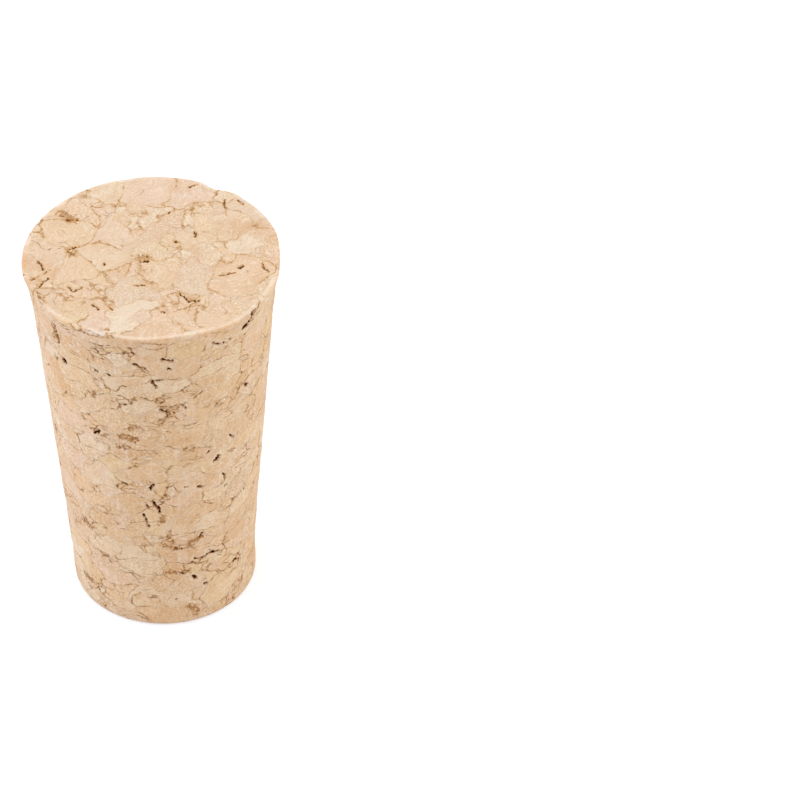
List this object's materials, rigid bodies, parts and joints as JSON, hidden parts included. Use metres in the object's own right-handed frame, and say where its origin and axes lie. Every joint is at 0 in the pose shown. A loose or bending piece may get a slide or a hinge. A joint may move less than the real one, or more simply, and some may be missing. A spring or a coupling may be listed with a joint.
{
  "type": "cork stopper",
  "caption": "Tapered stopper of bonded cork granules: the narrow end pushes into a neck or hole and wedges there, and the wide end stays out to pull it by.",
  "frame": {"origin": "centre of the narrow end's flat face, which the stopper stands on", "axes": "+Z along the stopper's axis, from the narrow end up to the wide end; it is round about Z, so X and Y are free"},
  "size_m": [0.024, 0.024, 0.039],
  "materials": {
    "cork": "bonded cork granules, ground smooth, uncoated"
  },
  "bodies": {
    "root": {"stopper": "cork"}
  },
  "joints": []
}
